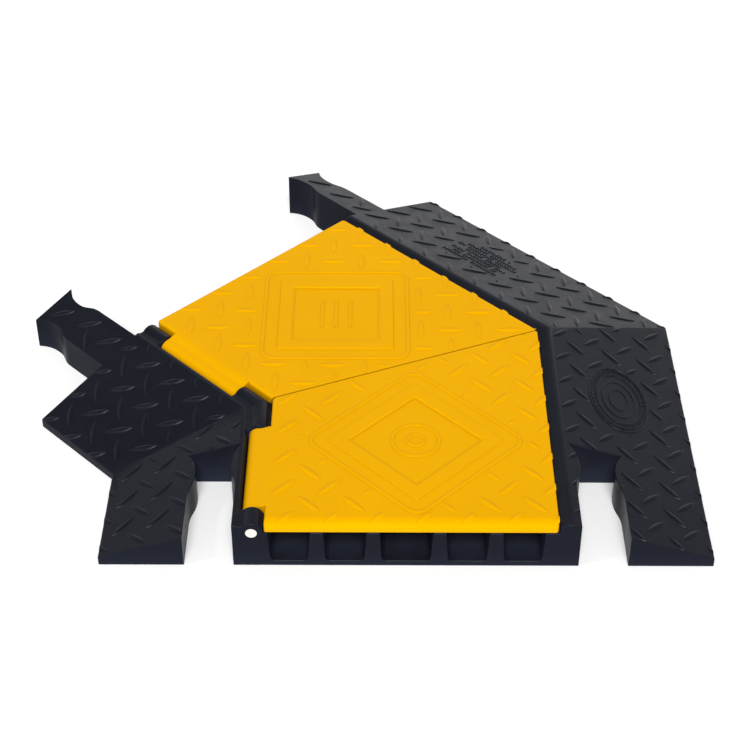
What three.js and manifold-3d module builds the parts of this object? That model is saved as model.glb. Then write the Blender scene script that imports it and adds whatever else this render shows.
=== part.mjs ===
// Cable protector ramp: a five-channel turn module of two legs that meet at a 45 degree mitre.
// Millimetres, +Z up. Each leg is drawn in its own frame: u runs across the leg, outside of the turn
// positive, and s runs along it, from the middle of the mitre to the leg's end face.
import * as THREE from 'three';
import { mergeVertices } from 'three/addons/utils/BufferGeometryUtils.js';
import Module from 'manifold-3d';

const wasm = await Module();
wasm.setup();

// ---- driving dimensions -------------------------------------------------------------------------

const TURN = Math.PI / 4; // angle between the legs
const MITRE_SLOPE = Math.tan(TURN / 2); // how far the mitre runs along a leg, per mm across it
const LEG_LENGTH = 205.5; // mitre to end face, on the leg's centre line
const HALF_WIDTH = 251;
const SEAM = 0.3; // gap between neighbouring regions of the base casting

const LIP_HEIGHT = 8.5; // the ramp's outer edge
const RIDGE_U = 132; // where the ramp ends and the shoulder starts
const RIDGE_HEIGHT = 46.6;
const BODY_HALF = 140.8; // outer wall of the channel body
const RAMP_SLOPE = (RIDGE_HEIGHT - LIP_HEIGHT) / (HALF_WIDTH - RIDGE_U);

const FLOOR_HEIGHT = 5.5;
const LEDGE_HEIGHT = 36.2; // what the closed lid rests on
const SHOULDER_EDGE = { u: 123.4, z: 43.2 }; // the shoulder's low edge, beside the lid
const CHANNEL_WALL = 112; // outer wall of the outermost channels, at the top
const DIVIDERS = [-72.6, -26.9, 26.9, 72.6]; // centre lines
const DIVIDER_THICK = 10.8; // at the top
const DRAFT = 1.75; // how much further a channel wall stands out at the floor

const LID = { left: -115, right: 122.4, bottom: 36.6, top: 47.6, bevel: 1.5, corner: 6 };
const LID_END_GAP = 0.5;
const LID_SEAM = 0.35; // from the mitre plane to the lid's top edge, square to the plane
const LID_UNDERCUT = 4.5; // how much further back the lid's bottom edge is at the mitre

const HINGE = { u: -125, z: 35.7, radius: 9.3, bore: 4.93, pin: 4.85 };
const KNUCKLE_GAP = 1; // between a lid's knuckle and the base's knuckles
const TROUGH = { left: -137, right: -114.4, bottom: 25.2 };
const TROUGH_LIP = { u: -139.5, drop: 3 }; // chamfer on the trough's outer edge
const ROUND_SEGMENTS = 48;

const JAW_U = 161; // centre line of the sockets and connectors
const SOCKET = { half: 20.2, straight: 46, neck: 15.1, neckAt: 76, end: 23.6, length: 100.8 };
const CONNECTOR = { half: 19.6, straight: 52, neck: 14, neckAt: 76, end: 22.2, length: 98 };
const CUT_HEIGHT = 60; // cutting blocks stand past the top of everything they cut
const CURVE_POINTS = 6;

const LEGS = [
  { name: 'leg_a', along: -1, angle: 0, lidKnuckle: [85, 183.5], ends: SOCKET },
  { name: 'leg_b', along: 1, angle: TURN, lidKnuckle: [79.3, 178.8], ends: CONNECTOR },
];

// ---- materials ----------------------------------------------------------------------------------

const blackUrethane = new THREE.MeshStandardMaterial({ color: 0x232329, roughness: 0.55, metalness: 0 });
const yellowUrethane = new THREE.MeshStandardMaterial({ color: 0xf2b200, roughness: 0.45, metalness: 0 });
const paleFibreglass = new THREE.MeshStandardMaterial({ color: 0xe6e4dc, roughness: 0.5, metalness: 0 });

// ---- solids -------------------------------------------------------------------------------------

const rampHeight = (u) => LIP_HEIGHT + (HALF_WIDTH - Math.abs(u)) * RAMP_SLOPE;
const mitre = (u) => -u * MITRE_SLOPE;
const clearance = (square) => square / Math.cos(TURN / 2); // a gap square to the mitre, measured along s
const mitreFace = (u) => mitre(u) + clearance(SEAM / 2);
const endFace = () => LEG_LENGTH;

function outline(points) {
  return new THREE.Shape(points.map(([x, y]) => new THREE.Vector2(x, y)));
}

// A section in (u, z) drawn along the leg from s = from(u) to s = to(u).
function prism(leg, section, from, to) {
  const geometry = new THREE.ExtrudeGeometry(outline(section), { depth: 1, bevelEnabled: false });
  const position = geometry.getAttribute('position');
  for (let i = 0; i < position.count; i += 1) {
    const u = position.getX(i);
    const ends = [leg.along * from(u), leg.along * to(u)];
    const y = position.getZ(i) === 0 ? Math.max(...ends) : Math.min(...ends);
    position.setXYZ(i, u, y, position.getY(i));
  }
  return geometry;
}

// A plan outline in (u, s) standing from z = bottom to z = top(u).
function slab(leg, plan, bottom, top) {
  const shape = outline(plan.map(([u, s]) => [u, leg.along * s]));
  const geometry = new THREE.ExtrudeGeometry(shape, { depth: 1, bevelEnabled: false });
  const position = geometry.getAttribute('position');
  for (let i = 0; i < position.count; i += 1) {
    position.setZ(i, position.getZ(i) === 0 ? bottom : top(position.getX(i)));
  }
  return geometry;
}

// A round bar on the hinge axis from s = from to s = to.
function hingeBar(leg, radius, from, to) {
  const bar = new THREE.CylinderGeometry(radius, radius, to - from, ROUND_SEGMENTS);
  return bar.translate(HINGE.u, (leg.along * (from + to)) / 2, HINGE.z);
}

function toManifold(geometry) {
  const bare = geometry.clone();
  bare.deleteAttribute('normal');
  bare.deleteAttribute('uv');
  const merged = mergeVertices(bare, 1e-4);
  return new wasm.Manifold(new wasm.Mesh({
    numProp: 3,
    vertProperties: Float32Array.from(merged.getAttribute('position').array),
    triVerts: Uint32Array.from(merged.getIndex().array),
  }));
}

function fromManifold(solid) {
  const { vertProperties, triVerts } = solid.getMesh();
  const geometry = new THREE.BufferGeometry();
  geometry.setAttribute('position', new THREE.BufferAttribute(vertProperties, 3));
  geometry.setIndex(new THREE.BufferAttribute(triVerts, 1));
  geometry.computeVertexNormals();
  return geometry;
}

const join = (a, b) => fromManifold(toManifold(a).add(toManifold(b)));
const cut = (solid, ...tools) => (
  fromManifold(tools.reduce((rest, tool) => rest.subtract(toManifold(tool)), toManifold(solid)))
);

// ---- sockets and connectors ---------------------------------------------------------------------

// The dog-bone outline that both share: a straight shank, a neck and a flared end. Points are
// (distance from the centre line, distance from the leg's end face).
function jawWall({ half, straight, neck, neckAt, end, length }, root) {
  const wall = new THREE.Path();
  wall.moveTo(half, root);
  wall.lineTo(half, straight);
  wall.bezierCurveTo(half, (straight + neckAt) / 2, neck, (straight + neckAt) / 2, neck, neckAt);
  wall.bezierCurveTo(neck, neckAt + 10, neck + 3, length - 6, end, length);
  return wall.getPoints(CURVE_POINTS).map(({ x, y }) => [x, y]);
}

function jawPlan(jaw, side, root, direction) {
  const wall = jawWall(jaw, root);
  const mirrored = wall.map(([x, y]) => [-x, y]).reverse();
  return [...wall, ...mirrored].map(([x, y]) => [side * JAW_U + x, LEG_LENGTH + direction * y]);
}

const socketCut = (leg, side) => slab(leg, jawPlan(SOCKET, side, -1, -1), -1, () => CUT_HEIGHT);

function connector(leg, side) {
  return slab(leg, jawPlan(CONNECTOR, side, SEAM, 1), 0, rampHeight);
}

// ---- regions of the base casting ----------------------------------------------------------------

function floorPlate(leg) {
  const half = CHANNEL_WALL - DRAFT - SEAM;
  const section = [[-half, 0], [half, 0], [half, FLOOR_HEIGHT], [-half, FLOOR_HEIGHT]];
  return prism(leg, section, mitreFace, endFace);
}

function divider(leg, centre) {
  const top = DIVIDER_THICK / 2;
  const foot = top + DRAFT;
  const base = FLOOR_HEIGHT + SEAM;
  const section = [
    [centre - foot, base], [centre + foot, base],
    [centre + top, LEDGE_HEIGHT], [centre - top, LEDGE_HEIGHT],
  ];
  return prism(leg, section, mitreFace, endFace);
}

// The socket's inner jaw bulges out of the rail, so leg A's rails carry it.
function withSocketJaw(leg, rail, side) {
  if (leg.ends !== SOCKET) return rail;
  const near = side * (BODY_HALF - 1);
  const far = side * (JAW_U - SOCKET.neck + 2);
  const back = LEG_LENGTH - SOCKET.length + 2;
  const jaw = slab(leg, [[near, back], [far, back], [far, LEG_LENGTH], [near, LEG_LENGTH]], 0, rampHeight);
  return cut(join(rail, jaw), socketCut(leg, side));
}

function outerRail(leg) {
  const section = [
    [CHANNEL_WALL - DRAFT, 0], [BODY_HALF, 0], [BODY_HALF, rampHeight(BODY_HALF)],
    [RIDGE_U, RIDGE_HEIGHT], [SHOULDER_EDGE.u, SHOULDER_EDGE.z], [SHOULDER_EDGE.u, LEDGE_HEIGHT],
    [CHANNEL_WALL, LEDGE_HEIGHT], [CHANNEL_WALL - DRAFT, FLOOR_HEIGHT],
  ];
  return withSocketJaw(leg, prism(leg, section, mitreFace, endFace), 1);
}

// The rail on the inside of the turn has the open trough that the hinge turns in.
function hingeRail(leg) {
  const top = rampHeight(BODY_HALF);
  const section = [
    [-BODY_HALF, 0], [DRAFT - CHANNEL_WALL, 0], [DRAFT - CHANNEL_WALL, FLOOR_HEIGHT],
    [-CHANNEL_WALL, LEDGE_HEIGHT], [TROUGH.right, LEDGE_HEIGHT], [TROUGH.right, TROUGH.bottom],
    [TROUGH.left, TROUGH.bottom], [TROUGH.left, top - TROUGH_LIP.drop], [TROUGH_LIP.u, top],
    [-BODY_HALF, top],
  ];
  return withSocketJaw(leg, prism(leg, section, mitreFace, endFace), -1);
}

function ramp(leg, side) {
  const inner = side * (BODY_HALF + SEAM);
  const outer = side * HALF_WIDTH;
  const plan = [[inner, mitreFace(inner)], [outer, mitreFace(outer)], [outer, LEG_LENGTH], [inner, LEG_LENGTH]];
  const whole = slab(leg, plan, 0, rampHeight);
  if (leg.ends !== SOCKET) return whole;
  const wall = side * (BODY_HALF - 1);
  const middle = side * JAW_U;
  const back = LEG_LENGTH - SOCKET.length;
  const mouth = [[wall, back], [middle, back], [middle, LEG_LENGTH + 1], [wall, LEG_LENGTH + 1]];
  return cut(whole, socketCut(leg, side), slab(leg, mouth, -1, () => CUT_HEIGHT));
}

// A base knuckle fills the trough below the hinge axis and is round above it.
function baseKnuckle(leg, from, to, boreFrom) {
  const { u, z, radius } = HINGE;
  const foot = TROUGH.bottom + SEAM;
  const section = [[u - radius, foot], [u + radius, foot]];
  for (let i = 0; i <= ROUND_SEGMENTS / 2; i += 1) {
    const angle = (i * 2 * Math.PI) / ROUND_SEGMENTS;
    section.push([u + radius * Math.cos(angle), z + radius * Math.sin(angle)]);
  }
  return cut(prism(leg, section, from, to), hingeBar(leg, HINGE.bore, boreFrom, LEG_LENGTH + 1));
}

// ---- lid and pin --------------------------------------------------------------------------------

function lidPlan() {
  const { left, right, corner } = LID;
  const near = (u) => mitre(u) + clearance(LID_SEAM);
  const far = LEG_LENGTH - LID_END_GAP;
  return [
    [left, near(left) + corner], [left + corner, near(left + corner)], [right, near(right)],
    [right, far], [left, far],
  ];
}

// The plate's edges are bevelled, and its face at the mitre leans back towards the bottom, which
// leaves the other lid room while this one swings up.
function lidPlate(leg) {
  const { bevel, bottom, top, corner } = LID;
  const shape = outline(lidPlan().map(([u, s]) => [u, leg.along * s]));
  const depth = top - bottom - 2 * bevel;
  const plate = new THREE.ExtrudeGeometry(shape, {
    depth, bevelSize: bevel, bevelThickness: bevel, bevelOffset: -bevel, bevelSegments: 1,
  });
  plate.translate(0, 0, bottom + bevel);
  const position = plate.getAttribute('position');
  for (let i = 0; i < position.count; i += 1) {
    const [u, y, z] = [position.getX(i), position.getY(i), position.getZ(i)];
    const atMitre = leg.along * y - mitre(u) < 2 * corner;
    const lean = (clearance(LID_UNDERCUT) * (top - z)) / (top - bottom);
    if (atMitre) position.setY(i, y + leg.along * lean);
  }
  return plate;
}

// The knuckle is a full barrel, with a web that slopes up from it into the plate.
function lidKnuckle(leg) {
  const { u, z, radius } = HINGE;
  const [from, to] = leg.lidKnuckle;
  const web = [
    [u, LID.bottom], [LID.left + 8, LID.bottom], [LID.left + 8, LID.top],
    [u + 9.5, LID.top], [u + 3.5, z + 8.6], [u, z + radius - 0.4],
  ];
  return join(hingeBar(leg, radius, from, to), prism(leg, web, () => from, () => to));
}

function lid(leg) {
  const whole = join(lidPlate(leg), lidKnuckle(leg));
  return cut(whole, hingeBar(leg, HINGE.bore, leg.lidKnuckle[0] - 1, leg.lidKnuckle[1] + 1));
}

// ---- assembly -----------------------------------------------------------------------------------

const part = new THREE.Group();

function addLeg(leg) {
  const group = new THREE.Group();
  group.position.set(0, LEG_LENGTH, 0);
  group.rotation.z = leg.angle;
  part.add(group);
  const add = (name, geometry, material) => {
    const mesh = new THREE.Mesh(geometry, material);
    mesh.name = `${name}_${leg.name}`;
    group.add(mesh);
  };

  add('base_floor', floorPlate(leg), blackUrethane);
  DIVIDERS.forEach((centre, i) => add(`base_divider_${i + 1}`, divider(leg, centre), blackUrethane));
  add('base_outer_rail', outerRail(leg), blackUrethane);
  add('base_hinge_rail', hingeRail(leg), blackUrethane);
  add('base_outer_ramp', ramp(leg, 1), blackUrethane);
  add('base_inner_ramp', ramp(leg, -1), blackUrethane);

  const [lidFrom, lidTo] = leg.lidKnuckle;
  const pinStart = mitre(HINGE.u) + 6;
  const cornerEnd = () => lidFrom - KNUCKLE_GAP;
  const endStart = () => lidTo + KNUCKLE_GAP;
  add('base_corner_knuckle', baseKnuckle(leg, mitreFace, cornerEnd, pinStart), blackUrethane);
  add('base_end_knuckle', baseKnuckle(leg, endStart, endFace, lidTo), blackUrethane);
  if (leg.ends === CONNECTOR) {
    add('base_outer_connector', connector(leg, 1), blackUrethane);
    add('base_inner_connector', connector(leg, -1), blackUrethane);
  }
  add('hinge_pin', hingeBar(leg, HINGE.pin, pinStart + SEAM, LEG_LENGTH), paleFibreglass);
  add('lid', lid(leg), yellowUrethane);
}

LEGS.forEach(addLeg);

// The origin is the middle of the footprint, on the ground.
const box = new THREE.Box3().setFromObject(part, true);
part.position.set(-(box.min.x + box.max.x) / 2, -(box.min.y + box.max.y) / 2, 0);

export default part;
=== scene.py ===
"""Visual model of the cable protector turn module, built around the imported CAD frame.

Shapes are drawn in millimetres in each leg's own plan. u runs across the leg, from its centre line
towards the outside of the turn. y runs along it, from 0 at the middle of the mitre, and grows
in the direction from leg A's end face to leg B's. z is the height above the ground.
"""

import math

import bmesh
import bpy
from mathutils import Matrix, Vector


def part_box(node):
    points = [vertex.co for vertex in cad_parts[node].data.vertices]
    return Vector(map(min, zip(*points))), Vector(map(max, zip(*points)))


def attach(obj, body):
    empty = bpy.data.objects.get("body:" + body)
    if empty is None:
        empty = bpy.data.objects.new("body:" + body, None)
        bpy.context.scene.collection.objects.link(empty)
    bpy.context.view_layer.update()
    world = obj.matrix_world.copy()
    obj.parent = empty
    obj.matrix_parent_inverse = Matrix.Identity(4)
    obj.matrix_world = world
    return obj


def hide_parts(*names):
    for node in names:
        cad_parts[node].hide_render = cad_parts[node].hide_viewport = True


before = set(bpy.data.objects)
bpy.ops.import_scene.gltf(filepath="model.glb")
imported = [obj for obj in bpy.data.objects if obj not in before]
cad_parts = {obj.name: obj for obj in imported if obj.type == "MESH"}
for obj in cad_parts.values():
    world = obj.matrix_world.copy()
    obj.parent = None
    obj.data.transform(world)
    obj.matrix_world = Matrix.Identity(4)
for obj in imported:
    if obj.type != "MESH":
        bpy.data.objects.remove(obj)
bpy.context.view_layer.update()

# ---- dimensions, millimetres --------------------------------------------------------------------

MM = 0.001
TURN = math.pi / 4  # angle between the legs
MITRE_SLOPE = math.tan(TURN / 2)
LEG_LENGTH = 205.5
HALF_WIDTH = 251
LIP_HEIGHT = 8.5
RIDGE = (132, 46.6)  # (u, z) where the ramp ends and the shoulder starts
RAMP_SLOPE = (RIDGE[1] - LIP_HEIGHT) / (HALF_WIDTH - RIDGE[0])
FLOOR_HEIGHT = 5.5
LEDGE_HEIGHT = 36.2
SHOULDER_EDGE = (123.4, 43.2)  # (u, z) of the shoulder's low edge, beside the lid
CHANNEL_WALL = 112
CHANNEL_ROUND = 4  # fillet along a channel's floor
DIVIDERS = (-72.6, -26.9, 26.9, 72.6)  # centre lines
DIVIDER_HALF = 5.4
DRAFT = 1.75  # how much further a channel wall stands out at the floor
HINGE_U, HINGE_Z = -125, 35.7
KNUCKLE_HALF, KNUCKLE_RISE = 9.6, 10.2
KNUCKLE_FOOT, KNUCKLE_LEVEL = 23, 43  # z of a base knuckle's lowest edge and of its flat
KNUCKLE_SINK = 1.4  # how far it runs into the trough's walls
BARREL_RADIUS, BORE_RADIUS, PIN_RADIUS = 8.4, 4.93, 4.85
PIN_CHAMFER = 0.5
KNUCKLE_GAP = 1  # between a lid's knuckle and the base's knuckles
TROUGH = {"left": -136.4, "right": -114.4, "bottom": 25.2, "lip": 43.8, "wall": (-134.5, 38)}
TROUGH_CREST = -139.8  # u where the inner ramp ends and the trough's lip starts
JAW_U = 161  # centre line of the sockets and connectors
SOCKET = {"half": 20.2, "straight": 46, "neck": 15.1, "neck_at": 76, "end": 23.6, "length": 100.8}
CONNECTOR = {"half": 19.6, "straight": 52, "neck": 14, "neck_at": 76, "end": 22.2, "length": 98}
CONNECTOR_ROOT = 6  # how far a connector is sunk into the leg
LID = {"left": -114.7, "right": 122.4, "bottom": 36.6, "top": 46.7}
LID_LEFT_ROUND, LID_EDGE_ROUND, LID_SEAM_ROUND = 2.8, 1.2, 0.35
LID_END_ROUND = {"leg_a": (9, 6), "leg_b": (3, 2)}  # along the lid, down the end
LID_END_GAP = 0.5
LID_SEAM = 0.07  # from the mitre plane to the lid's top edge
LID_UNDERCUT = 4.5  # how much further back the lid's bottom edge is at the mitre
WEB_LEFT, WEB_RIGHT = -112, -108  # u where a web meets the lid's top, and where it is cut off
EDGE_ROUND = 0.8
BELOW, ABOVE = -5, 70  # cutting blocks stand past the bottom and the top of all that they cut


class Leg:
    """One leg of the module, with its own plan axes, and where along it the lid's knuckle is."""

    def __init__(self, name, along, angle, lid_knuckle):
        self.name = name
        self.along = along
        self.lid_knuckle = lid_knuckle
        low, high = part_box("base_floor_leg_a")
        middle = Vector(((low.x + high.x) / 2, low.y + LEG_LENGTH * MM, 0))
        self.to_row = Matrix.Translation(middle) @ Matrix.Rotation(angle, 4, "Z")

    def at(self, u, y, z):
        return self.to_row @ Vector((u * MM, y * MM, z * MM))

    def mitre(self, u):
        return -self.along * u * MITRE_SLOPE

    def end(self, inset=0.0):
        return self.along * (LEG_LENGTH - inset)


LEG_A = Leg("leg_a", -1, 0, (85, 183.5))
LEG_B = Leg("leg_b", 1, TURN, (79.3, 178.8))


def ramp_height(u):
    return LIP_HEIGHT + (HALF_WIDTH - abs(u)) * RAMP_SLOPE


# ---- outlines -----------------------------------------------------------------------------------

def rounded(corners, steps=5):
    """A closed outline from corners (x, y, radius)."""
    outline = []
    for i, (x, y, radius) in enumerate(corners):
        here = Vector((x, y))
        back = Vector(corners[i - 1][:2]) - here
        ahead = Vector(corners[(i + 1) % len(corners)][:2]) - here
        half = back.angle(ahead) / 2
        if radius <= 0 or half > math.pi / 2 - 0.01:
            outline.append((x, y))
            continue
        reach = min(radius / math.tan(half), 0.49 * back.length, 0.49 * ahead.length)
        radius = reach * math.tan(half)
        bisector = (back.normalized() + ahead.normalized()).normalized()
        centre = here + bisector * (radius / math.sin(half))
        start = here + back.normalized() * reach - centre
        sweep = math.pi - 2 * half
        if start.y * back.x - start.x * back.y < 0:
            sweep = -sweep
        for k in range(steps + 1):
            turn = sweep * k / steps
            cos, sin = math.cos(turn), math.sin(turn)
            outline.append((
                centre.x + start.x * cos - start.y * sin,
                centre.y + start.x * sin + start.y * cos,
            ))
    return outline


def area(outline):
    return sum(
        a[0] * b[1] - b[0] * a[1] for a, b in zip(outline, outline[1:] + outline[:1])
    ) / 2


def bezier(a, b, c, d, steps):
    """Points on a cubic curve from a to d, without a itself."""
    points = []
    for k in range(1, steps + 1):
        t = k / steps
        w = ((1 - t) ** 3, 3 * t * (1 - t) ** 2, 3 * t * t * (1 - t), t ** 3)
        points.append(tuple(
            w[0] * a[i] + w[1] * b[i] + w[2] * c[i] + w[3] * d[i] for i in (0, 1)
        ))
    return points


def turned(centre, points):
    """Points round the origin, turned by 45 degrees and moved to centre."""
    cos, sin = math.cos(math.pi / 4), math.sin(math.pi / 4)
    return [(centre[0] + x * cos - y * sin, centre[1] + x * sin + y * cos) for x, y in points]


def inset(outline, amount, keep=None):
    """The outline moved inwards by amount, except where keep(x, y) is true."""
    side = 1 if area(outline) > 0 else -1
    moved = []
    for i, (x, y) in enumerate(outline):
        here = Vector((x, y))
        before = (here - Vector(outline[i - 1])).normalized()
        after = (Vector(outline[(i + 1) % len(outline)]) - here).normalized()
        normal_before = Vector((-before.y, before.x)) * side
        normal_after = Vector((-after.y, after.x)) * side
        push = (normal_before + normal_after).normalized()
        stretch = max(0.5, push.dot(normal_before))
        if keep and keep(x, y):
            moved.append((x, y))
        else:
            moved.append(tuple(here + push * (amount / stretch)))
    return moved


def shrink(corners, amount, keep=None):
    """Outline corners (x, y, radius) moved inwards by amount, and their radii with them."""
    side = 1 if area([corner[:2] for corner in corners]) > 0 else -1
    moved = []
    for i, (x, y, radius) in enumerate(corners):
        if keep and keep(x, y):
            moved.append((x, y, radius))
            continue
        here = Vector((x, y))
        before = (here - Vector(corners[i - 1][:2])).normalized()
        after = (Vector(corners[(i + 1) % len(corners)][:2]) - here).normalized()
        normal = Vector((-before.y, before.x)) * side
        push = (normal + Vector((-after.y, after.x)) * side).normalized()
        here += push * (amount / push.dot(normal))
        bulges = (before.x * after.y - before.y * after.x) * side > 0
        moved.append((here.x, here.y, max(0.05, radius - amount if bulges else radius + amount)))
    return moved


def arc(centre, radius, start, stop, steps):
    """Points on a circle from start to stop degrees."""
    points = []
    for k in range(steps + 1):
        angle = math.radians(start + (stop - start) * k / steps)
        points.append((centre[0] + radius * math.cos(angle), centre[1] + radius * math.sin(angle)))
    return points


# ---- meshes -------------------------------------------------------------------------------------

def loft(rings, closed=False):
    """Skins equal closed rings of points. The two ends are capped, or joined if closed."""
    count = len(rings[0])
    faces = []
    for i in range(len(rings) if closed else len(rings) - 1):
        a, b = i * count, (i + 1) % len(rings) * count
        faces += [(a + j, a + (j + 1) % count, b + (j + 1) % count, b + j) for j in range(count)]
    if not closed:
        last = (len(rings) - 1) * count
        faces.append(tuple(range(count))[::-1])
        faces.append(tuple(range(last, last + count)))
    return [p for ring in rings for p in ring], faces


def build(name, shapes, place):
    """One mesh object from several (points, faces), each point put through place."""
    points, faces = [], []
    for shape_points, shape_faces in shapes:
        start = len(points)
        points += [place(*p) for p in shape_points]
        faces += [tuple(start + i for i in face) for face in shape_faces]
    mesh = bpy.data.meshes.new(name)
    mesh.from_pydata(points, [], faces)
    work = bmesh.new()
    work.from_mesh(mesh)
    bmesh.ops.recalc_face_normals(work, faces=work.faces)
    work.to_mesh(mesh)
    work.free()
    obj = bpy.data.objects.new(name, mesh)
    bpy.context.scene.collection.objects.link(obj)
    return obj


def combine(obj, tool, operation):
    """Adds tool to obj, or cuts it away, and removes tool."""
    modifier = obj.modifiers.new("combine", "BOOLEAN")
    modifier.solver = "MANIFOLD"
    modifier.operation = operation
    modifier.object = tool
    graph = bpy.context.evaluated_depsgraph_get()
    result = bpy.data.meshes.new_from_object(obj.evaluated_get(graph))
    obj.modifiers.clear()
    old = obj.data
    obj.data = result
    bpy.data.meshes.remove(old)
    bpy.data.objects.remove(tool)
    if not result.polygons:
        raise RuntimeError("nothing left of " + obj.name)
    return obj


def add(obj, tool):
    return combine(obj, tool, "UNION")


def cut(obj, tool):
    return combine(obj, tool, "DIFFERENCE")


def as_drawn(x, y, z):
    """For build(): points that are already in metres in the frame."""
    return Vector((x, y, z))


def end_rounding(radius, steps=4):
    """(distance from the end, inset) pairs of a rounded end, from the body out to the end face."""
    pairs = []
    for k in range(steps + 1):
        angle = k / steps * math.pi / 2
        pairs.append((radius * (1 - math.sin(angle)), radius * (1 - math.cos(angle))))
    return pairs


def sweep(stations, section, name):
    """A section in (u, z), from section(inset), swept through stations (leg, y or y(u), inset)."""
    rings = []
    for leg, y, amount in stations:
        rings.append([
            leg.at(u, y(u) if callable(y) else y, z) for u, z in section(amount)
        ])
    return build(name, [loft(rings)], as_drawn)


# ---- surface details, drawn as (u, y, height above the surface) --------------------------------

BAR_SPARE = 12  # bars run this far past an edge before fence() cuts them off
BAR_STEP = 0.3  # between an edge and the cut
FENCE_WIDTH, FENCE_SPARE = 40, 20
BAR_WIDTH, SHORTEST_BAR = 6.2, 6
DETAIL_DEPTH = 0.5  # how far a detail's foot is sunk into the surface


def tread_bar(start, stop, height, length, crest):
    """A lens-shaped tread bar, smaller where it is cut short. A high crest flattens its top."""
    start, stop = Vector(start), Vector(stop)
    middle, half = (start + stop) / 2, (stop - start) / 2
    share = min(1, 2 * half.length / length)
    width = BAR_WIDTH * share ** 0.5
    across = Vector((-half.y, half.x)).normalized()
    rings = []
    shares = [0.2, 0.45, 0.66, 0.82, 0.93, 0.985]
    for t in [-share for share in reversed(shares)] + shares:
        fall = 1 - t * t
        half_width = width / 2 * fall ** 0.9
        top = height * share ** 0.5 * fall ** 0.45
        centre = middle + half * t
        ring = []
        for k in range(13):
            share_across = math.cos(math.pi * k / 12)
            point = centre + across * (half_width * share_across)
            ring.append((point.x, point.y, top * (1 - abs(share_across) ** crest)))
        for side in (-1, 1):
            point = centre + across * (half_width * side)
            ring.append((point.x, point.y, -DETAIL_DEPTH))
        rings.append(ring)
    return loft(rings)


def bead(path, width, height, closed):
    """A half-round raised line along a path of (u, y) points."""
    rings = []
    count = len(path)
    for i, (x, y) in enumerate(path):
        here = Vector((x, y))
        before = here - Vector(path[i - 1]) if closed or i else None
        after = Vector(path[(i + 1) % count]) - here if closed or i < count - 1 else None
        run = ((before.normalized() if before else Vector((0, 0)))
               + (after.normalized() if after else Vector((0, 0)))).normalized()
        across = Vector((-run.y, run.x))
        if before and after:
            across /= max(0.5, across.dot(Vector((-before.normalized().y, before.normalized().x))))
        ring = []
        for k in range(7):
            angle = math.pi * k / 6
            point = here + across * (width / 2 * math.cos(angle))
            ring.append((point.x, point.y, height * math.sin(angle)))
        for side in (-1, 1):
            point = here + across * (width / 2 * side)
            ring.append((point.x, point.y, -DETAIL_DEPTH))
        rings.append(ring)
    return loft(rings, closed)


def square_path(centre, side, radius, steps=8):
    """A square standing on its corner, with rounded corners."""
    half = side / 2
    corners = [(-half, -half), (half, -half), (half, half), (-half, half)]
    return turned(centre, rounded([(x, y, radius) for x, y in corners], steps))


def inside_span(start, stop, polygon):
    """The part (t0, t1) of the line from start to stop that is inside a convex polygon, or None."""
    start, stop = Vector(start), Vector(stop)
    run = stop - start
    side = 1 if area(polygon) > 0 else -1
    low, high = 0.0, 1.0
    for a, b in zip(polygon, polygon[1:] + polygon[:1]):
        edge = Vector(b) - Vector(a)
        normal = Vector((-edge.y, edge.x)) * side
        distance, rate = (start - Vector(a)).dot(normal), run.dot(normal)
        if abs(rate) < 1e-9:
            if distance < 0:
                return None
        elif rate > 0:
            low = max(low, -distance / rate)
        else:
            high = min(high, -distance / rate)
    return (low, high) if low < high else None


def tread(rows, region, hole, height, length, crest):
    """Tread bars at rows of (u, y, lean), clipped to a convex region and kept out of a hole."""
    bars = []
    for u, y, lean in rows:
        reach = length / 2 / math.sqrt(2)
        start, stop = Vector((u - reach, y - lean * reach)), Vector((u + reach, y + lean * reach))
        span = inside_span(start, stop, region)
        if span is None:
            continue
        low, high = span
        blocked = inside_span(start, stop, hole) if hole else None
        if blocked:
            if blocked[0] - low > high - blocked[1]:
                high = min(high, blocked[0])
            else:
                low = max(low, blocked[1])
        if (high - low) * length < SHORTEST_BAR:
            continue
        run = stop - start
        bars.append(tread_bar(start + run * low, start + run * high, height, length, crest))
    return bars


def fence(leg, edge, side):
    """A block that takes away whatever is past u = edge."""
    far, spare = edge + side * FENCE_WIDTH, FENCE_SPARE * leg.along
    plan = [
        (edge, leg.end() + spare), (far, leg.end() + spare),
        (far, leg.mitre(far) - spare), (edge, leg.mitre(edge) - spare),
    ]
    rings = [[leg.at(u, y, z) for u, y in plan] for z in (BELOW, ABOVE)]
    return build("fence", [loft(rings)], as_drawn)


def grid(columns, first, pitch, count, lean):
    """Rows for tread(): a column of bars at each u, from first and pitch apart."""
    return [(u, first + pitch * k, lean) for u in columns for k in range(count)]


# ---- the base casting ---------------------------------------------------------------------------

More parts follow.
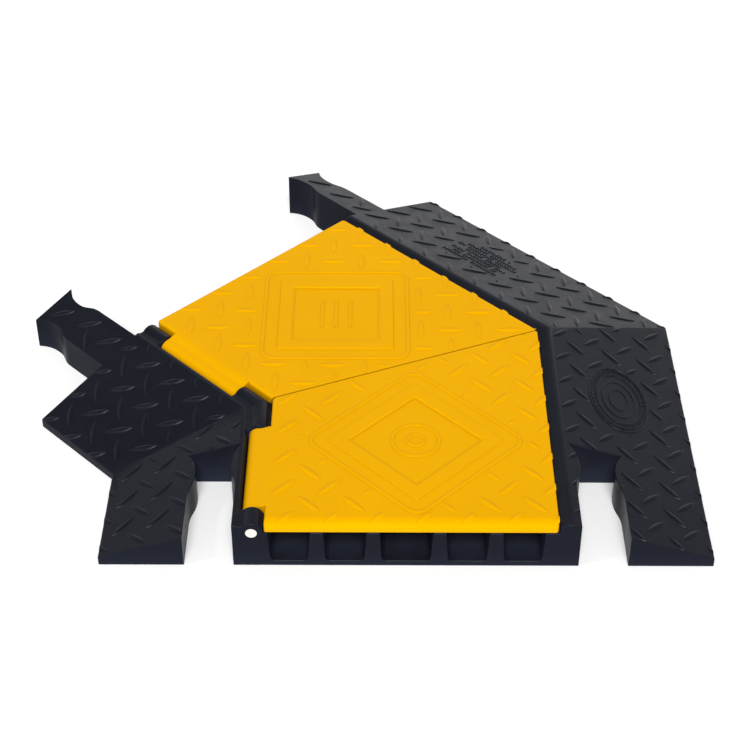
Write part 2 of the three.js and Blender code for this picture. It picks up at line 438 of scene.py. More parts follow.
def base_corners():
    """The leg's section as (u, z, radius): ramps, shoulder, channels, and the hinge's trough."""
    foot = CHANNEL_WALL - DRAFT
    corners = [
        (-HALF_WIDTH, 0, 0.5), (-HALF_WIDTH, LIP_HEIGHT, 1.6),
        (TROUGH_CREST, ramp_height(TROUGH_CREST), 1.0), (TROUGH["left"], TROUGH["lip"], 1.0),
        (*TROUGH["wall"], 2), (TROUGH["wall"][0], TROUGH["bottom"], 1.5),
        (TROUGH["right"], TROUGH["bottom"], 1.5),
        (TROUGH["right"], LEDGE_HEIGHT, 0.6), (-CHANNEL_WALL, LEDGE_HEIGHT, 0.8),
        (-foot, FLOOR_HEIGHT, CHANNEL_ROUND),
    ]
    for centre in DIVIDERS:
        corners += [
            (centre - DIVIDER_HALF - DRAFT, FLOOR_HEIGHT, CHANNEL_ROUND),
            (centre - DIVIDER_HALF, LEDGE_HEIGHT, 1.2),
            (centre + DIVIDER_HALF, LEDGE_HEIGHT, 1.2),
            (centre + DIVIDER_HALF + DRAFT, FLOOR_HEIGHT, CHANNEL_ROUND),
        ]
    corners += [
        (foot, FLOOR_HEIGHT, CHANNEL_ROUND), (CHANNEL_WALL, LEDGE_HEIGHT, 0.8),
        (SHOULDER_EDGE[0], LEDGE_HEIGHT, 0.8), (*SHOULDER_EDGE, 1.0), (*RIDGE, 10),
        (HALF_WIDTH, LIP_HEIGHT, 1.6), (HALF_WIDTH, 0, 0.5),
    ]
    return corners


def in_trough(u, z):
    """True at the trough's corners, which run straight out through the end face."""
    beside = TROUGH["left"] - 0.1 < u < TROUGH["right"] + 0.1
    return beside and FLOOR_HEIGHT < z <= TROUGH["lip"]


def base_section(amount):
    return rounded(shrink(base_corners(), amount, in_trough if amount else None))


def leg_sweep():
    """Both legs in one sweep, from leg A's end face round the mitre to leg B's."""
    ends = end_rounding(EDGE_ROUND)
    stations = [(LEG_A, LEG_A.end(distance), amount) for distance, amount in reversed(ends)]
    stations.append((LEG_A, LEG_A.mitre, 0))
    stations += [(LEG_B, LEG_B.end(distance), amount) for distance, amount in ends]
    return sweep(stations, base_section, "base_casting")


def knuckle_section():
    """Round over the hinge line, and level with the rail beside it."""
    wall, ledge = TROUGH["left"] - KNUCKLE_SINK, TROUGH["right"] + KNUCKLE_SINK
    start = 180 - math.degrees(math.asin((KNUCKLE_LEVEL - HINGE_Z) / KNUCKLE_RISE))
    arch = [
        (HINGE_U + KNUCKLE_HALF * x, HINGE_Z + KNUCKLE_RISE * z)
        for x, z in arc((0, 0), 1, start, 0, 20)
    ]
    return (
        [(wall, KNUCKLE_FOOT), (wall, KNUCKLE_LEVEL)] + arch
        + [(ledge, HINGE_Z), (ledge, KNUCKLE_FOOT)]
    )


def below_axis(_u, z):
    """True for the part of a knuckle that stays flush with the end face."""
    return z < HINGE_Z + 0.3


def corner_knuckles():
    """The two knuckles at the corner, in one piece round the mitre."""
    ends = end_rounding(EDGE_ROUND)
    from_a, from_b = (leg.lid_knuckle[0] - KNUCKLE_GAP for leg in (LEG_A, LEG_B))
    stations = [(LEG_A, -(from_a - d), amount) for d, amount in reversed(ends)]
    stations.append((LEG_A, LEG_A.mitre, 0))
    stations += [(LEG_B, from_b - d, amount) for d, amount in ends]
    return sweep(stations, lambda amount: inset(knuckle_section(), amount), "corner_knuckles")


def end_knuckle(leg):
    """The knuckle at a leg's end. Its foot stays flush with the end face, its arch is rounded."""
    ends = end_rounding(EDGE_ROUND)
    start = leg.lid_knuckle[1] + KNUCKLE_GAP
    rings = []
    for distance, amount in reversed(ends):
        ring = inset(knuckle_section(), amount)
        rings.append([leg.at(u, leg.along * (start + distance), z) for u, z in ring])
    for distance, amount in ends:
        ring = inset(knuckle_section(), amount, below_axis)
        rings.append([leg.at(u, leg.end(distance), z) for u, z in ring])
    return build("end_knuckle", [loft(rings)], as_drawn)


def hinge_bar(leg, stations, name):
    """A round bar on the hinge axis, through (distance along the leg, radius) stations."""
    rings = []
    for s, radius in stations:
        circle = arc((HINGE_U, HINGE_Z), radius, 0, 352.5, 47)
        rings.append([leg.at(u, leg.along * s, z) for u, z in circle])
    return build(name, [loft(rings)], as_drawn)


# Distances along the leg: the bore's blind end, and from there to the pin.
PIN_START = -HINGE_U * MITRE_SLOPE + 6
PIN_GAP = 0.3


def jaw_outline(jaw, flare):
    """Half a socket's or connector's dog-bone: (from its centre line, from the leg's end face)."""
    half, straight, neck = jaw["half"], jaw["straight"], jaw["neck"]
    at, end, length = jaw["neck_at"], jaw["end"], jaw["length"]
    bend = (straight + at) / 2
    side = [(half, straight)]
    side += bezier((half, straight), (half, bend), (neck, bend), (neck, at), 10)
    side += bezier((neck, at), (neck, at + 10), (neck + 3, length - 6), (end, length), 10)
    tip = rounded([side[-2] + (0,), (end, length, flare), (end - 6, length, 0)], 4)[1:-1]
    return side[:-1] + tip


def jaw_plan(jaw, side, flare, mouth):
    """The whole dog-bone, starting with the points of its mouth or root."""
    wall = [*mouth, *jaw_outline(jaw, flare)]
    return [(side * JAW_U + x, y) for x, y in wall + [(-x, y) for x, y in reversed(wall)]]


def socket(side):
    """What leg A's socket takes out of the base, with its top edges rounded."""
    half, edge = SOCKET["half"], EDGE_ROUND
    mouth = [(half + edge, -2), (half + edge, 0), (half + 0.25 * edge, 0.25 * edge), (half, edge)]
    plan = jaw_plan(SOCKET, side, 2.2, mouth)
    rings = [[(u, y, BELOW) for u, y in plan]]
    for distance, amount in end_rounding(edge):
        rings.append([(u, y, ramp_height(u) - distance) for u, y in inset(plan, -amount)])
    rings.append([(u, y, ABOVE) for u, y in inset(plan, -edge)])
    return build("socket", [loft(rings)], lambda u, y, z: LEG_A.at(u, LEG_A.end() + y, z))


def connector(side):
    """One of leg B's connectors, with its top edges rounded."""
    root = [(CONNECTOR["half"], -CONNECTOR_ROOT)]
    plan = jaw_plan(CONNECTOR, side, 1.2, root)
    rings = [[(u, y, 0) for u, y in plan]]
    for distance, amount in end_rounding(EDGE_ROUND):
        rings.append([
            (u, y, ramp_height(u) - distance)
            for u, y in inset(plan, amount, lambda _u, y: y < 0)
        ])
    return build("connector", [loft(rings)], lambda u, y, z: LEG_B.at(u, LEG_B.end() + y, z))


RAMP_BAR = (1.3, 25, 1.7)  # height, length, crest
BADGE = {"centre": (190, -27), "across": 26, "along": 43}
PATCH = {"u": (171, 217), "y": (42, 118)}
PATCH_MARGIN = 3
RAMP_INNER = {1: 135.5, -1: 140.4}  # where each side's bars start
RAMP_END_MARGIN, RAMP_MITRE_MARGIN = 0.9, 1.2


def ramp_region(leg, side):
    """The part of a ramp that carries tread bars, as a convex outline in (u, y)."""
    inner, outer = side * RAMP_INNER[side], side * (HALF_WIDTH + BAR_SPARE)
    end, start = leg.end(RAMP_END_MARGIN), RAMP_MITRE_MARGIN * leg.along
    return [
        (inner, end), (outer, end),
        (outer, leg.mitre(outer) + start), (inner, leg.mitre(inner) + start),
    ]


def on_ramp(leg):
    """Places (u, y, height) on the leg's ramps."""
    return lambda u, y, height: leg.at(u, y, ramp_height(u) + height)


def oval(share, steps=60):
    """The badge's outline, drawn at a share of its size."""
    (u, y), across, along = BADGE["centre"], BADGE["across"] * share, BADGE["along"] * share
    turns = [2 * math.pi * k / steps for k in range(steps)]
    return [(u + across * math.cos(turn), y + along * math.sin(turn)) for turn in turns]


def ramp_bars():
    """Tread bars for the four ramps and two connectors, as (leg, shapes, what cuts them off)."""
    right_a = (grid((157.5, 190, 222.5, 254.5), -200.9, 33.4, 10, -1)
               + grid((143, 174, 204.5, 234.5), -183.5, 33.4, 10, 1))
    left_a = (grid((-156, -188, -220, -252), -193.5, 33, 4, -1)
              + grid((-172, -204, -233.5), -175.5, 33, 4, 1) + grid((-141.5,), -109.5, 33, 2, 1))
    right_b = (grid((159, 190.5, 222.5, 254), -105.4, 33.2, 10, -1)
               + grid((141, 172, 203, 234.5), -89.9, 33.3, 9, 1))
    left_b = (grid((-157.5, -188, -218.5, -249.5), 1.7, 33.25, 7, -1)
              + grid((-139.7, -170.3, -201.5, -232.7), 19.5, 33.3, 6, 1))
    (u0, u1), (y0, y1) = PATCH["u"], PATCH["y"]
    m = PATCH_MARGIN
    patch = [(u0 - m, y0 - m), (u1 + m, y0 - m), (u1 + m, y1 + m), (u0 - m, y1 + m)]
    shapes = []
    for leg, side, rows, hole in (
        (LEG_A, 1, right_a, oval(1.06)), (LEG_A, -1, left_a, None),
        (LEG_B, 1, right_b, patch), (LEG_B, -1, left_b, None),
    ):
        region = ramp_region(leg, side)
        bars = tread(rows, region, hole, *RAMP_BAR)
        shapes.append((leg, bars, fence(leg, side * (HALF_WIDTH - BAR_STEP), side)))
    for side, rows in (
        (1, [(159.8, 212.6, -1), (161, 246.6, -1), (162, 280.3, -1), (172, 229.5, 1)]),
        (-1, [(-160.3, 221.5, -1), (-157.6, 253.6, -1), (-163.3, 286.6, -1), (-169.9, 241.6, 1)]),
    ):
        inner, outer = side * (JAW_U - 18), side * (JAW_U + 18)
        region = [(inner, 207), (outer, 207), (outer, 302), (inner, 302)]
        shapes.append((LEG_B, tread(rows, region, None, *RAMP_BAR), None))
    return shapes


def oval_badge():
    """Plain raised ovals, one in another, with short ribs between the outer two."""
    shapes = []
    for share, width in ((1, 1.5), (0.93, 1), (0.77, 1.2), (0.56, 1.2), (0.32, 1.2)):
        shapes.append(bead(oval(share), width, 0.85, True))
    inner, outer = oval(0.81, 44), oval(0.89, 44)
    for near, far in zip(inner, outer):
        shapes.append(bead([near, far], 1, 0.7, False))
    return shapes


def rib_patch():
    """A plain patch of ticks in rows, on leg B's outer ramp."""
    shapes = []
    (u0, u1), (y0, y1) = PATCH["u"], PATCH["y"]
    rows, pitch = 7, 3.3
    step = (u1 - u0) / rows
    for row_index in range(rows):
        margin = (0, 9, 3, 14, 0, 6, 18)[row_index]
        count = int((y1 - y0 - 2 * margin) / pitch)
        for i in range(count):
            if (5 * row_index + 3 * i) % 11 == 0:
                continue
            u, y = u0 + step * row_index, y0 + margin + pitch * (i + 0.5)
            length = step * (0.62 if (row_index + i) % 3 else 0.45)
            shapes.append(bead([(u, y), (u + length, y)], 1.5, 0.85, False))
    return shapes


def base_casting():
    base = leg_sweep()
    add(base, corner_knuckles())
    for leg in (LEG_A, LEG_B):
        add(base, end_knuckle(leg))
    for side in (1, -1):
        add(base, connector(side))
    for leg, shapes, limit in ramp_bars():
        bars = build("bars", shapes, on_ramp(leg))
        add(base, cut(bars, limit) if limit else bars)
    for shape in oval_badge():
        add(base, build("badge", [shape], on_ramp(LEG_A)))
    add(base, build("patch", rib_patch(), on_ramp(LEG_B)))
    for side in (1, -1):
        cut(base, socket(side))
    for leg in (LEG_A, LEG_B):
        cut(base, hinge_bar(leg, [(PIN_START, BORE_RADIUS), (LEG_LENGTH + 1, BORE_RADIUS)], "bore"))
    return base


# ---- lids and pins ------------------------------------------------------------------------------

LID_BAR = (0.88, 27, 2.3)  # height, length, crest
FRAME_SIDE, BAND_SIDE, PANEL_SIDE = 132, 105, 80
FRAME_ROUND, FRAME_MARGIN, FRAME_LINE = 12, 7, 3.4
BAND_HEIGHT, BAND_ROUND, PANEL_DEPTH = 0.75, 1.5, 0.4
SIGN_HEIGHT, RING_LINE, BAR_LINE = 0.7, 3.2, 3.4
LID_MARGINS = {"left": 4, "end": 2, "mitre": 1.6}  # between the tread bars and the lid's edges


def lid_plan(leg, left, right, end, seam):
    """The lid's outline in (u, y), with its sides, end and mitred edge moved in by these."""
    left, right = LID["left"] + left, LID["right"] - right
    near = leg.along * (LID_SEAM + seam) / math.cos(TURN / 2)
    far = leg.end(LID_END_GAP + end)
    return rounded([
        (left, leg.mitre(left) + near, 1.6), (right, leg.mitre(right) + near, 1.5),
        (right, far, 2.5), (left, far, 1.5),
    ], 4)


def fillet_inset(reach, drop, depth):
    """How far in a rounded edge is, at a depth below the face it rounds into."""
    rest = max(0, 1 - depth / drop)
    return reach * (1 - math.sqrt(1 - rest * rest))


def lid_plate(leg):
    """The plate, skinned through its outline at each level that a rounded edge needs."""
    low, high = LID["bottom"], LID["top"]
    cad_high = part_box("lid_" + leg.name)[1].z / MM
    end_reach, end_drop = LID_END_ROUND[leg.name]
    depths = {
        depth for radius, steps in ((end_drop, 12), (LID_LEFT_ROUND, 6), (LID_EDGE_ROUND, 4))
        for depth, _ in end_rounding(radius, steps)
    }
    levels = [(low + depth,) + (amount,) * 4 for depth, amount in reversed(end_rounding(0.8, 3))]
    for depth in sorted(depths, reverse=True):
        left, right, seam = (
            fillet_inset(r, r, depth) for r in (LID_LEFT_ROUND, LID_EDGE_ROUND, LID_SEAM_ROUND))
        levels.append((high - depth, left, right, fillet_inset(end_reach, end_drop, depth), seam))
    rings = []
    for z, left, right, end, seam in levels:
        seam += LID_UNDERCUT * (cad_high - z) / (cad_high - low)
        rings.append([leg.at(u, y, z) for u, y in lid_plan(leg, left, right, end, seam)])
    return build("lid_" + leg.name + "_moulding", [loft(rings)], as_drawn)


def on_lid(leg):
    """Places (u, y, height) on the lid's top, following it down over its rounded end."""
    reach, drop = LID_END_ROUND[leg.name]

    def place(u, y, height):
        past = max(0, leg.along * (y - leg.end(LID_END_GAP + reach)) / reach)
        return leg.at(u, y, LID["top"] - drop * (1 - math.sqrt(1 - past * past)) + height)
    return place


def lid_knuckle(leg):
    """The barrel, and the web that rises from it into the plate."""
    start, stop = leg.lid_knuckle
    top = (HINGE_U, HINGE_Z + BARREL_RADIUS)
    section = (
        arc((HINGE_U, HINGE_Z), BARREL_RADIUS, 6.5, -270, 44)
        + bezier(top, (top[0] + 5, top[1]), (WEB_LEFT - 6, LID["top"]), (WEB_LEFT, LID["top"]), 10)
        + [(WEB_RIGHT, LID["top"]), (WEB_RIGHT, LID["bottom"] + 0.2)]
    )
    ends = end_rounding(EDGE_ROUND)
    stations = [(leg, leg.along * (start + d), amount) for d, amount in reversed(ends)]
    stations += [(leg, leg.along * (stop - d), amount) for d, amount in ends]
    return sweep(
        stations,
        lambda amount: inset(section, amount, lambda u, _z: u > WEB_LEFT - 1),
        "lid_knuckle",
    )


def frame_band(centre, leg):
    """The raised square band, in loops from its outer foot over the crest to its inner foot."""
    loops = [
        (BAND_SIDE + 0.8, -0.5), (BAND_SIDE + 0.8, 0), (BAND_SIDE - 0.5, BAND_HEIGHT),
        (PANEL_SIDE + 2, BAND_HEIGHT), (PANEL_SIDE - 1.6, -PANEL_DEPTH), (PANEL_SIDE - 1.6, -1),
    ]
    rings = [
        [(x, y, h) for x, y in square_path(centre, side, BAND_ROUND, 4)] for side, h in loops
    ]
    return build("band", [loft(rings, True)], lambda u, y, h: leg.at(u, y, LID["top"] + h))


def frame_panel(centre, leg):
    """The shallow recess inside the band."""
    edge = PANEL_SIDE - 1.7  # just inside the band's inner foot
    levels = [(edge, -PANEL_DEPTH), (edge, 0.1)]
    rings = [[(x, y, h) for x, y in square_path(centre, side, BAND_ROUND, 4)] for side, h in levels]
    return build("panel", [loft(rings)], lambda u, y, h: leg.at(u, y, LID["top"] + h))


def ring_sign(centre):
    """A plain raised ring round a dot."""
    return [
        bead(arc(centre, 20, 0, 354, 59), RING_LINE, SIGN_HEIGHT, True),
        bead(arc(centre, 7, 0, 350, 35), RING_LINE, SIGN_HEIGHT, True),
    ]


def bar_sign(centre):
    """Three plain raised bars."""
    return [
        bead(turned(centre, [(-20, y), (20, y)]), BAR_LINE, SIGN_HEIGHT, False)
        for y in (-13, 0, 13)
    ]


# Each lid's emblem, and its two sets of tread bars: (columns, first, pitch, count) for grid().
LIDS = {
    "leg_a": {
        "centre": (8.8, -102.8),
        "slash": ((-100.6, -63.5, -26, 11, 47.6, 84.5, 121.3), -200, 38.1, 8),
        "back": ((-79.7, -42.9, -6, 31, 67.5, 104.3), -182, 38.2, 8),
        "sign": ring_sign,
    },
    "leg_b": {
        "centre": (9, 96.5),
        "slash": ((-97.5, -61.5, -24.5, 11.5, 48, 84, 120.4), -51, 38.1, 8),
        "back": ((-82.3, -46, -9.5, 27.5, 66, 104.5), -32.5, 38.2, 7),
        "sign": bar_sign,
    },
}


def lid_region(leg):
    """The part of a lid that carries tread bars, as a convex outline in (u, y)."""
    left, right = LID["left"] + LID_MARGINS["left"], LID["right"] + BAR_SPARE
    end, seam = leg.end(LID_MARGINS["end"]), LID_MARGINS["mitre"] * leg.along
    return [
        (left, end), (right, end),
        (right, leg.mitre(right) + seam), (left, leg.mitre(left) + seam),
    ]


def lid(leg):
    """One lid with its knuckle, tread bars and emblem."""
    facts = LIDS[leg.name]
    moulding = lid_plate(leg)
    add(moulding, lid_knuckle(leg))
    region = lid_region(leg)
    hole = square_path(facts["centre"], FRAME_SIDE + FRAME_MARGIN, FRAME_ROUND)
    rows = grid(*facts["slash"], 1) + grid(*facts["back"], -1)
    bars = build("bars", tread(rows, region, hole, *LID_BAR), on_lid(leg))
    add(moulding, cut(bars, fence(leg, LID["right"] + BAR_STEP, 1)))
    square = square_path(facts["centre"], FRAME_SIDE, FRAME_ROUND)
    add(moulding, build("bead", [bead(square, FRAME_LINE, BAND_HEIGHT, True)], on_lid(leg)))
    add(moulding, frame_band(facts["centre"], leg))
    cut(moulding, frame_panel(facts["centre"], leg))
    for shape in facts["sign"](facts["centre"]):
        sign = build("sign", [shape], lambda u, y, h: leg.at(u, y, LID["top"] - PANEL_DEPTH + h))
        add(moulding, sign)
    start, stop = leg.lid_knuckle
    bore = [(start - 1, BORE_RADIUS), (stop + 1, BORE_RADIUS)]
    return cut(moulding, hinge_bar(leg, bore, "bore"))


def hinge_pin(leg):
    start, stop, chamfer = PIN_START + PIN_GAP, LEG_LENGTH, PIN_CHAMFER
    stations = [
        (start, PIN_RADIUS - chamfer), (start + chamfer, PIN_RADIUS),
        (stop - chamfer, PIN_RADIUS), (stop - 0.1, PIN_RADIUS - 0.35), (stop, PIN_RADIUS - 0.6),
    ]
    return hinge_bar(leg, stations, "pin_" + leg.name)


# ---- materials ----------------------------------------------------------------------------------

def grey(value):
    return (value, value, value, 1)


def set_stops(node, *stops):
    """Gives a colour ramp its stops, (position, colour) from low to high."""
    elements = node.color_ramp.elements
    for element, (position, colour) in zip(elements, (stops[0], stops[-1])):
        element.position, element.color = position, colour
    for position, colour in stops[1:-1]:
        elements.new(position).color = colour


class Nodes:
    """A material's node tree, with its shader and object coordinates at hand."""

    def __init__(self, name, **sockets):
        self.material = bpy.data.materials.new(name)
        self.material.use_nodes = True
        self.tree = self.material.node_tree
        self.shader = self.tree.nodes["Principled BSDF"]
        self.place = self.tree.nodes.new("ShaderNodeTexCoord").outputs["Object"]
        for socket, value in sockets.items():
            self.shader.inputs[socket.replace("_", " ")].default_value = value

    def link(self, source, target):
        self.tree.links.new(source, target)

    def noise(self, scale, detail=2, roughness=0.5, stretch=None):
        node = self.tree.nodes.new("ShaderNodeTexNoise")
        node.inputs["Scale"].default_value = scale
        node.inputs["Detail"].default_value = detail
        node.inputs["Roughness"].default_value = roughness
        if stretch:
            mapping = self.tree.nodes.new("ShaderNodeMapping")
            mapping.inputs["Scale"].default_value = stretch
            self.link(self.place, mapping.inputs["Vector"])
            self.link(mapping.outputs["Vector"], node.inputs["Vector"])
        else:
            self.link(self.place, node.inputs["Vector"])
        return node.outputs["Fac"]

    def ramp(self, source, *stops):
        node = self.tree.nodes.new("ShaderNodeValToRGB")
        set_stops(node, *stops)
        self.link(source, node.inputs["Fac"])
        return node.outputs["Color"]

    def mix(self, factor, a, b, mode="MIX"):
        node = self.tree.nodes.new("ShaderNodeMix")
        node.data_type, node.blend_type = "RGBA", mode
        for value, name in ((factor, "Factor"), (a, "A"), (b, "B")):
            socket = next(s for s in node.inputs if s.name == name and (
                s.type == ("VALUE" if name == "Factor" else "RGBA")))
            if isinstance(value, (float, int, tuple)):
                socket.default_value = value
            else:
                self.link(value, socket)
        return next(s for s in node.outputs if s.type == "RGBA")

    def worn_edges(self, radius):
        """A mask of the object's edges, broken up by noise."""
        bevel = self.tree.nodes.new("ShaderNodeBevel")
        bevel.inputs["Radius"].default_value = radius
        geometry = self.tree.nodes.new("ShaderNodeNewGeometry")
        product = self.tree.nodes.new("ShaderNodeVectorMath")
        product.operation = "DOT_PRODUCT"
        self.link(bevel.outputs["Normal"], product.inputs[0])
        self.link(geometry.outputs["Normal"], product.inputs[1])
        edge = self.ramp(product.outputs["Value"], (0.9, grey(0.8)), (0.995, grey(0)))
        patches = self.ramp(self.noise(130, 4), (0.4, grey(0)), (0.62, grey(1)))
        return self.mix(1.0, edge, patches, "MULTIPLY")

    def facing_up(self):
        """0 on upright faces, 1 on level ones."""
        geometry = self.tree.nodes.new("ShaderNodeNewGeometry")
        split = self.tree.nodes.new("ShaderNodeSeparateXYZ")
        self.link(geometry.outputs["Normal"], split.inputs["Vector"])
        return split.outputs["Z"]

    def recesses(self, distance, full, none, samples):
        """A mask of what its surroundings hide: 1 where the open share is full, 0 at none."""
        shade = self.tree.nodes.new("ShaderNodeAmbientOcclusion")
        shade.samples = samples
        shade.inputs["Distance"].default_value = distance
        return self.ramp(shade.outputs["AO"], (full, grey(1)), (none, grey(0)))

    def bump(self, *layers):
        """Bump layers of (height source, strength, distance in metres), one over another."""
        normal = None
        for source, strength, distance in layers:
            node = self.tree.nodes.new("ShaderNodeBump")
            node.inputs["Strength"].default_value = strength
            node.inputs["Distance"].default_value = distance
            self.link(source, node.inputs["Height"])
            if normal:
                self.link(normal, node.inputs["Normal"])
            normal = node.outputs["Normal"]
        self.link(normal, self.shader.inputs["Normal"])


def black_urethane():
    """Cast black polyurethane: fine grain, rubbed edges, less gloss on upright faces, painted light
    that makes upright faces paler, and painted fill light in the channels.
    """
    nodes = Nodes("black_urethane")
    colour = nodes.ramp(
        nodes.noise(22, 4, 0.6),
        (0.3, (0.0050, 0.0063, 0.0115, 1)), (0.7, (0.0070, 0.0085, 0.0150, 1)),
    )
    speck = nodes.ramp(nodes.noise(420, 2), (0.68, grey(0)), (0.76, grey(1)))
    colour = nodes.mix(speck, colour, (0.012, 0.0135, 0.021, 1))
    upright = nodes.ramp(nodes.facing_up(), (0.1, grey(1)), (0.5, grey(0)))
    # Painted light: upright faces are painted a shade paler than level ones, to brighten them.
    colour = nodes.mix(upright, colour, (0.0092, 0.0108, 0.0175, 1))
    worn = nodes.worn_edges(0.0009)
    colour = nodes.mix(worn, colour, (0.022, 0.0235, 0.03, 1))
    # Painted light: a paler colour where the surroundings hide the surface, in the channels and
    # other hollows, lifts their shade.
    painted_fill_in_hollows = nodes.recesses(0.04, 0.12, 0.42, 4)
    colour = nodes.mix(painted_fill_in_hollows, colour, (0.031, 0.038, 0.060, 1))
    nodes.link(colour, nodes.shader.inputs["Base Color"])
    gloss = nodes.mix(upright, grey(0.14), grey(0.03))
    nodes.link(gloss, nodes.shader.inputs["Specular IOR Level"])
    rough = nodes.ramp(nodes.noise(60, 5, 0.7), (0.3, grey(0.26)), (0.7, grey(0.42)))
    rough = nodes.mix(worn, rough, grey(0.14))
    nodes.link(rough, nodes.shader.inputs["Roughness"])
    nodes.bump((nodes.noise(70, 3), 0.35, 0.0004), (nodes.noise(900, 3, 0.6), 0.3, 0.00012))
    return nodes.material


def yellow_urethane():
    """Pigmented yellow polyurethane: a satin skin, pale rubbed edges, painted shade beside the
    relief.
    """
    nodes = Nodes("yellow_urethane", Specular_IOR_Level=0.05, Specular_Tint=(1, 0.7, 0.05, 1))
    colour = nodes.ramp(
        nodes.noise(12, 4, 0.55), (0.3, (0.765, 0.372, 0.0, 1)), (0.7, (0.80, 0.392, 0.0, 1)),
    )
    speck = nodes.ramp(nodes.noise(350, 2), (0.74, grey(0)), (0.8, grey(1)))
    colour = nodes.mix(speck, colour, (0.70, 0.33, 0.0, 1))
    colour = nodes.mix(nodes.worn_edges(0.0008), colour, (0.84, 0.46, 0.01, 1))
    # Painted shade: a darker colour where the surroundings hide the surface, at the feet of the
    # tread bars, bands and signs.
    painted_shade_beside_relief = nodes.recesses(0.003, 0.76, 0.98, 12)
    colour = nodes.mix(painted_shade_beside_relief, colour, (0.64, 0.30, 0.0, 1))
    nodes.link(colour, nodes.shader.inputs["Base Color"])
    rough = nodes.ramp(nodes.noise(45, 4, 0.6), (0.3, grey(0.42)), (0.7, grey(0.56)))
    nodes.link(rough, nodes.shader.inputs["Roughness"])
    nodes.bump((nodes.noise(55, 3), 0.25, 0.0003), (nodes.noise(800, 2), 0.2, 0.00008))
    return nodes.material


def fibreglass():
    """Pultruded rod: off-white resin with fibres running along it."""
    nodes = Nodes("fibreglass")
    fibres = nodes.noise(500, 4, 0.6)
    colour = nodes.ramp(fibres, (0.3, (0.62, 0.58, 0.48, 1)), (0.65, (0.86, 0.84, 0.77, 1)))
    nodes.link(colour, nodes.shader.inputs["Base Color"])
    rough = nodes.ramp(nodes.noise(300, 3), (0.3, grey(0.45)), (0.7, grey(0.65)))
    nodes.link(rough, nodes.shader.inputs["Roughness"])
    nodes.bump((fibres, 0.4, 0.0002))
    return nodes.material


def floor_paint():
    nodes = Nodes(
        "pale_floor", Roughness=0.9, Specular_IOR_Level=0.1,
        Emission_Color=grey(1), Emission_Strength=0.12)
    colour = nodes.ramp(nodes.noise(3, 3), (0.3, grey(0.90)), (0.7, grey(0.92)))
    nodes.link(colour, nodes.shader.inputs["Base Color"])
    return nodes.material


CRISP = math.radians(24)  # corners sharper than this stay sharp in the shading


def dress(obj, material, body, slot, *nodes):
    """Material, soft shading with crisp corners, and its place in the frame."""
    obj.data.materials.clear()
    obj.data.materials.append(material)
    obj.data.shade_smooth()
    obj.data.set_sharp_from_angle(angle=CRISP)
    modifier = obj.modifiers.new("weighted", "WEIGHTED_NORMAL")
    modifier.keep_sharp = True
    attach(obj, body)
    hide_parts(*nodes)


# ---- the object ---------------------------------------------------------------------------------

black, yellow, rod = black_urethane(), yellow_urethane(), fibreglass()
base_nodes = [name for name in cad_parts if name.startswith("base_")]
dress(base_casting(), black, "base", "black_polyurethane", *base_nodes)
for leg in (LEG_A, LEG_B):
    dress(lid(leg), yellow, "lid_" + leg.name, "yellow_polyurethane", "lid_" + leg.name)
    dress(hinge_pin(leg), rod, "base", "offwhite_fibreglass", "hinge_pin_" + leg.name)

# ---- floor, light and camera --------------------------------------------------------------------

def add_object(name, data, location):
    obj = bpy.data.objects.new(name, data)
    obj.location = location
    bpy.context.scene.collection.objects.link(obj)
    return obj


def floor():
    """A pale floor, just under the casting."""
    half, height = 6, -0.0003
    corners = [(-half, -half, 0), (half, -half, 0), (half, half, 0), (-half, half, 0)]
    mesh = bpy.data.meshes.new("floor")
    mesh.from_pydata(corners, [], [(0, 1, 2, 3)])
    mesh.materials.append(floor_paint())
    add_object("floor", mesh, (0, 0, height))


# How bright the studio is: by height, from the horizon to overhead, and by how far to either side.
WORLD_STRENGTH = 1.2
WORLD_HEIGHTS = (
    (0.0, grey(1.0)), (0.44, grey(0.95)), (0.52, grey(0.6)), (0.75, grey(0.3)), (1.0, grey(0.22)),
)
WORLD_FLANKS = ((0.36, grey(1)), (0.7, grey(0.5)))


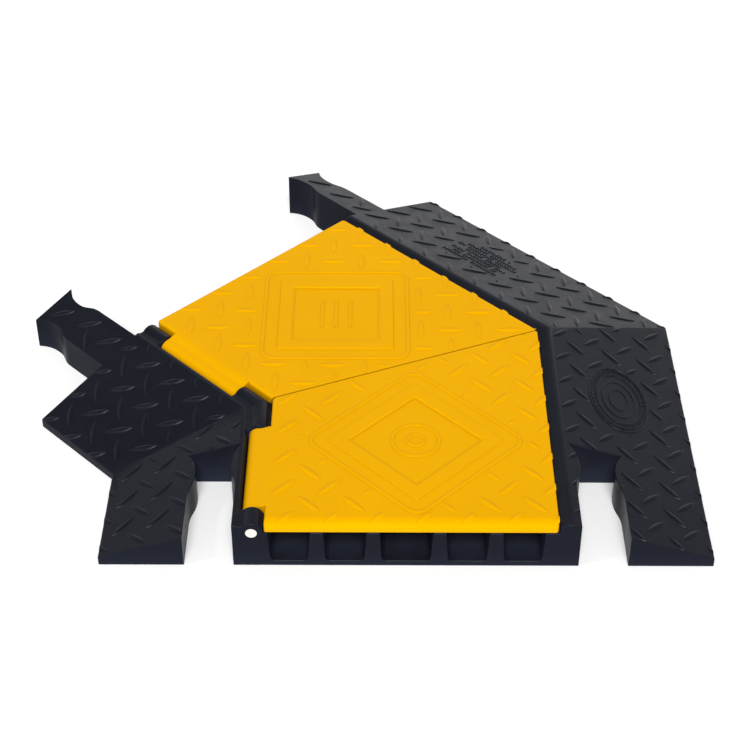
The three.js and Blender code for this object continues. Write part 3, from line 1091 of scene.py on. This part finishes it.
def world_light():
    """A white studio: bright low down, dim overhead and towards the sides."""
    world = bpy.data.worlds.new("studio")
    world.use_nodes = True
    bpy.context.scene.world = world
    tree = world.node_tree
    place = tree.nodes.new("ShaderNodeTexCoord")
    split = tree.nodes.new("ShaderNodeSeparateXYZ")
    height = tree.nodes.new("ShaderNodeValToRGB")
    set_stops(height, *WORLD_HEIGHTS)
    aside = tree.nodes.new("ShaderNodeMath")
    aside.operation = "ABSOLUTE"
    flanks = tree.nodes.new("ShaderNodeValToRGB")
    set_stops(flanks, *WORLD_FLANKS)
    product = tree.nodes.new("ShaderNodeVectorMath")
    product.operation = "MULTIPLY"
    background = tree.nodes["Background"]
    background.inputs["Strength"].default_value = WORLD_STRENGTH
    for source, target in (
        (place.outputs["Generated"], split.inputs["Vector"]),
        (split.outputs["Z"], height.inputs["Fac"]),
        (split.outputs["X"], aside.inputs[0]),
        (aside.outputs["Value"], flanks.inputs["Fac"]),
        (height.outputs["Color"], product.inputs[0]),
        (flanks.outputs["Color"], product.inputs[1]),
        (product.outputs["Vector"], background.inputs["Color"]),
    ):
        tree.links.new(source, target)


def sun(name, azimuth, elevation, spread, power):
    """An even light from one side. Azimuth 0 is towards -Y, 90 towards +X."""
    light = bpy.data.lights.new(name, "SUN")
    light.angle = math.radians(spread)
    light.energy = power
    a, e = math.radians(azimuth), math.radians(elevation)
    direction = Vector((math.sin(a) * math.cos(e), -math.cos(a) * math.cos(e), math.sin(e)))
    obj = add_object(name, light, direction * 2)
    obj.rotation_euler = direction.to_track_quat("Z", "Y").to_euler()


# The place is in metres, the angles are in degrees, the lens is in millimetres.
CAMERA = {
    "place": (0.02172, -1.27725, 1.00766), "down": 38.8687, "yaw": -0.0456, "roll": 0.1332,
    "lens": 83.12, "sensor": 36,
}


def camera():
    data = bpy.data.cameras.new("camera")
    data.lens = CAMERA["lens"]
    data.sensor_width = CAMERA["sensor"]
    down, yaw, roll = (math.radians(CAMERA[k]) for k in ("down", "yaw", "roll"))
    ahead = Vector((
        math.sin(yaw) * math.cos(down), math.cos(yaw) * math.cos(down), -math.sin(down),
    ))
    right = ahead.cross(Vector((0, 0, 1))).normalized()
    up = right.cross(ahead)
    cos, sin = math.cos(roll), math.sin(roll)
    matrix = Matrix((right * cos + up * sin, up * cos - right * sin, -ahead)).transposed().to_4x4()
    matrix.translation = Vector(CAMERA["place"])
    obj = add_object("camera", data, (0, 0, 0))
    obj.matrix_world = matrix
    bpy.context.scene.camera = obj


floor()
world_light()
sun("key", 0, 50, 24, 2.62)
sun("glint", -70, 50, 3, 0.22)
camera()
bpy.context.scene.view_settings.view_transform = "Standard"
